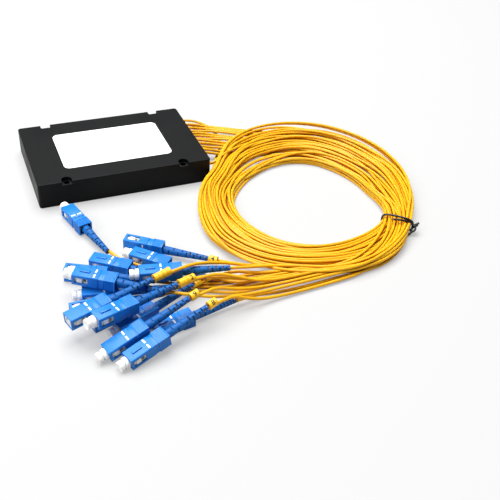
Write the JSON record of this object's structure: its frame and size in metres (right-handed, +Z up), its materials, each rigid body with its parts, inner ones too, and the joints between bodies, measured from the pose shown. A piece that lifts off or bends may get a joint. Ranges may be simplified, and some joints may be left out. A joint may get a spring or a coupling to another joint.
{
  "type": "fibre optic splitter module",
  "caption": "Flat black splitter box with fixing holes, a row of yellow fibre cables coiled in one tied loom, and blue push-pull plugs with dust caps.",
  "frame": {"origin": "centre of the box's flat underside, on the surface that everything lies on", "axes": "+X along the box's long side, towards the end that the cables leave; +Z up, out of the labelled lid; +Y towards the long side away from the pile of plugs"},
  "size_m": [0.274, 0.2526, 0.0216],
  "materials": {
    "abs_black": "fine-grained semi-gloss black ABS",
    "comb_black": "black moulded insert",
    "label_white": "bare white self-adhesive label, satin",
    "cable_yellow": "satin yellow cable jacket",
    "marker_yellow": "yellow slip-on marker ring, plain number",
    "tie_black": "black plastic-coated twist wire",
    "plug_blue": "moulded blue, satin gloss",
    "boot_blue": "flexible blue boot, satin",
    "frame_white": "off-white moulded plug frame",
    "zirconia": "polished white zirconia",
    "spring_steel": "drawn steel wire",
    "nickel_brass": "nickel-plated brass",
    "crimp_metal": "plain crimped ring",
    "cap_clear": "translucent off-white soft polythene",
    "chip_steel": "square steel chip tube",
    "buffer_clear": "clear to white buffer tube"
  },
  "bodies": {
    "module": {"box_base": "abs_black", "box_lid": "abs_black", "top_label": "label_white", "lead_comb": "comb_black", "splitter_chip": "chip_steel", "fibre_ribbon": "buffer_clear", "fanout_block": "comb_black", "buffer_tubes": "buffer_clear", "cable_coil": "cable_yellow", "twist_tie": "tie_black", "input_cable": "cable_yellow", "output_cable_1": "cable_yellow", "output_cable_2": "cable_yellow", "output_cable_3": "cable_yellow", "output_cable_4": "cable_yellow", "output_cable_5": "cable_yellow", "output_cable_6": "cable_yellow", "output_cable_7": "cable_yellow", "output_cable_8": "cable_yellow", "plug_frames": "frame_white", "ferrules": "zirconia", "ferrule_springs": "spring_steel", "crimp_posts": "nickel_brass", "crimp_rings": "crimp_metal", "boots": "boot_blue", "marker_rings": "marker_yellow"},
    "grip_a": {"grip_a": "plug_blue"},
    "grip_b": {"grip_b": "plug_blue"},
    "grip_c": {"grip_c": "plug_blue"},
    "grip_d": {"grip_d": "plug_blue"},
    "grip_e": {"grip_e": "plug_blue"},
    "grip_f": {"grip_f": "plug_blue"},
    "grip_g": {"grip_g": "plug_blue"},
    "grip_h": {"grip_h": "plug_blue"},
    "grip_i": {"grip_i": "plug_blue"},
    "grip_j": {"grip_j": "plug_blue"},
    "grip_k": {"grip_k": "plug_blue"},
    "grip_l": {"grip_l": "plug_blue"},
    "grip_m": {"grip_m": "plug_blue"},
    "grip_n": {"grip_n": "plug_blue"},
    "grip_p": {"grip_p": "plug_blue"},
    "grip_q": {"grip_q": "plug_blue"},
    "grip_x": {"grip_x": "plug_blue"},
    "cap_a": {"cap_a": "cap_clear"},
    "cap_c": {"cap_c": "cap_clear"},
    "cap_e": {"cap_e": "cap_clear"},
    "cap_f": {"cap_f": "cap_clear"},
    "cap_h": {"cap_h": "cap_clear"},
    "cap_j": {"cap_j": "cap_clear"},
    "cap_k": {"cap_k": "cap_clear"},
    "cap_l": {"cap_l": "cap_clear"},
    "cap_n": {"cap_n": "cap_clear"},
    "cap_q": {"cap_q": "cap_clear"}
  },
  "joints": [
    {"name": "grip_a_slide", "type": "slide", "parent": "module", "child": "grip_a", "axis": [0.2588, -0.9659, 0], "range_m": [0, 0.0013]},
    {"name": "grip_b_slide", "type": "slide", "parent": "module", "child": "grip_b", "axis": [0.809, -0.5878, 0], "range_m": [0, 0.0013]},
    {"name": "grip_c_slide", "type": "slide", "parent": "module", "child": "grip_c", "axis": [0.7193, -0.6947, 0], "range_m": [0, 0.0013]},
    {"name": "grip_d_slide", "type": "slide", "parent": "module", "child": "grip_d", "axis": [0.7934, -0.6088, 0], "range_m": [0, 0.0013]},
    {"name": "grip_e_slide", "type": "slide", "parent": "module", "child": "grip_e", "axis": [0.856, -0.5143, -0.0523], "range_m": [0, 0.0013]},
    {"name": "grip_f_slide", "type": "slide", "parent": "module", "child": "grip_f", "axis": [0.9816, -0.1908, 0], "range_m": [0, 0.0013]},
    {"name": "grip_g_slide", "type": "slide", "parent": "module", "child": "grip_g", "axis": [0.9998, -0.0175, 0], "range_m": [0, 0.0013]},
    {"name": "grip_h_slide", "type": "slide", "parent": "module", "child": "grip_h", "axis": [0.9505, 0.3088, -0.0349], "range_m": [0, 0.0013]},
    {"name": "grip_i_slide", "type": "slide", "parent": "module", "child": "grip_i", "axis": [0.9565, 0.2833, 0.0698], "range_m": [0, 0.0013]},
    {"name": "grip_j_slide", "type": "slide", "parent": "module", "child": "grip_j", "axis": [0.932, 0.3578, 0.0576], "range_m": [0, 0.0013]},
    {"name": "grip_k_slide", "type": "slide", "parent": "module", "child": "grip_k", "axis": [0.9368, 0.2528, 0.2419], "range_m": [0, 0.0013]},
    {"name": "grip_l_slide", "type": "slide", "parent": "module", "child": "grip_l", "axis": [0.9317, 0.319, 0.1736], "range_m": [0, 0.0013]},
    {"name": "grip_m_slide", "type": "slide", "parent": "module", "child": "grip_m", "axis": [0.9833, 0.1822, 0], "range_m": [0, 0.0013]},
    {"name": "grip_n_slide", "type": "slide", "parent": "module", "child": "grip_n", "axis": [0.9781, -0.2079, 0], "range_m": [0, 0.0013]},
    {"name": "grip_p_slide", "type": "slide", "parent": "module", "child": "grip_p", "axis": [0.9691, 0.2327, 0.0819], "range_m": [0, 0.0013]},
    {"name": "grip_q_slide", "type": "slide", "parent": "module", "child": "grip_q", "axis": [1, 0, 0], "range_m": [0, 0.0013]},
    {"name": "grip_x_slide", "type": "slide", "parent": "module", "child": "grip_x", "axis": [0.891, -0.454, 0], "range_m": [0, 0.0013]},
    {"name": "cap_a_pull_off", "type": "slide", "parent": "module", "child": "cap_a", "axis": [-0.2588, 0.9659, 0], "range_m": [0, 0.005]},
    {"name": "cap_c_pull_off", "type": "slide", "parent": "module", "child": "cap_c", "axis": [-0.7193, 0.6947, 0], "range_m": [0, 0.005]},
    {"name": "cap_e_pull_off", "type": "slide", "parent": "module", "child": "cap_e", "axis": [-0.856, 0.5143, 0.0523], "range_m": [0, 0.005]},
    {"name": "cap_f_pull_off", "type": "slide", "parent": "module", "child": "cap_f", "axis": [-0.9816, 0.1908, 0], "range_m": [0, 0.005]},
    {"name": "cap_h_pull_off", "type": "slide", "parent": "module", "child": "cap_h", "axis": [-0.9505, -0.3088, 0.0349], "range_m": [0, 0.005]},
    {"name": "cap_j_pull_off", "type": "slide", "parent": "module", "child": "cap_j", "axis": [-0.932, -0.3578, -0.0576], "range_m": [0, 0.005]},
    {"name": "cap_k_pull_off", "type": "slide", "parent": "module", "child": "cap_k", "axis": [-0.9368, -0.2528, -0.2419], "range_m": [0, 0.005]},
    {"name": "cap_l_pull_off", "type": "slide", "parent": "module", "child": "cap_l", "axis": [-0.9317, -0.319, -0.1736], "range_m": [0, 0.005]},
    {"name": "cap_n_pull_off", "type": "slide", "parent": "module", "child": "cap_n", "axis": [-0.9781, 0.2079, 0], "range_m": [0, 0.005]},
    {"name": "cap_q_pull_off", "type": "slide", "parent": "module", "child": "cap_q", "axis": [-1, 0, 0], "range_m": [0, 0.005]}
  ]
}
